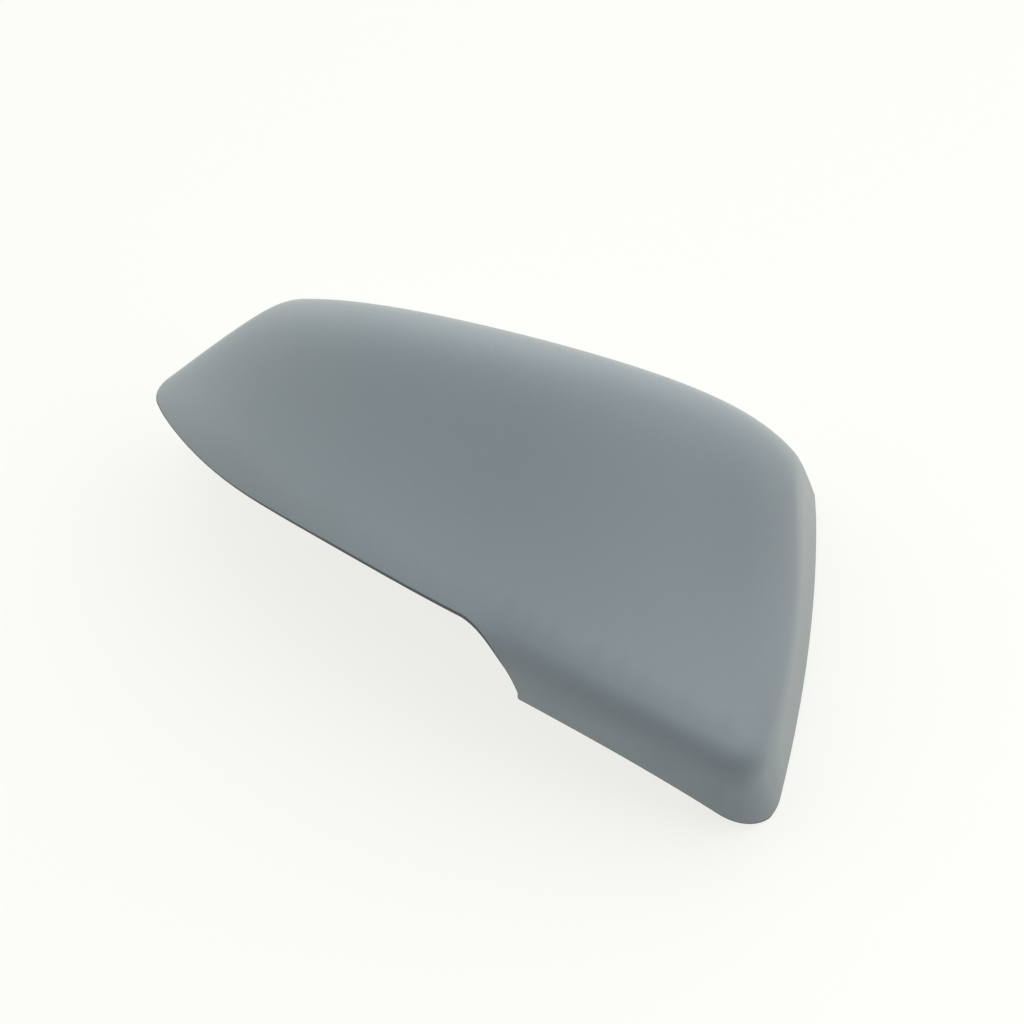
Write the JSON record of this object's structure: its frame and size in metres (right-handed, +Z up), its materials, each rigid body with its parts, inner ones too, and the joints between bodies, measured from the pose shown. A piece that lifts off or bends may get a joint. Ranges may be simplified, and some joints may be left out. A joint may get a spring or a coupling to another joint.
{
  "type": "wing mirror cover",
  "caption": "Left-hand wing mirror cover in grey primer: a domed shell with rolled edges, an arm cut-out in its lower edge, and snap hooks and ribs inside.",
  "frame": {"origin": "centre of the bounding box in plan, on the table that the rim rests on", "axes": "+X along the cover from the inboard tip to the outboard end, +Y toward the edge that is uppermost on the car, +Z up, which is forward on the car"},
  "size_m": [0.2484, 0.1602, 0.0931],
  "materials": {
    "mirror_cover": "satin grey primer on moulded plastic"
  },
  "bodies": {
    "root": {"mirror_cover": "mirror_cover"}
  },
  "joints": []
}
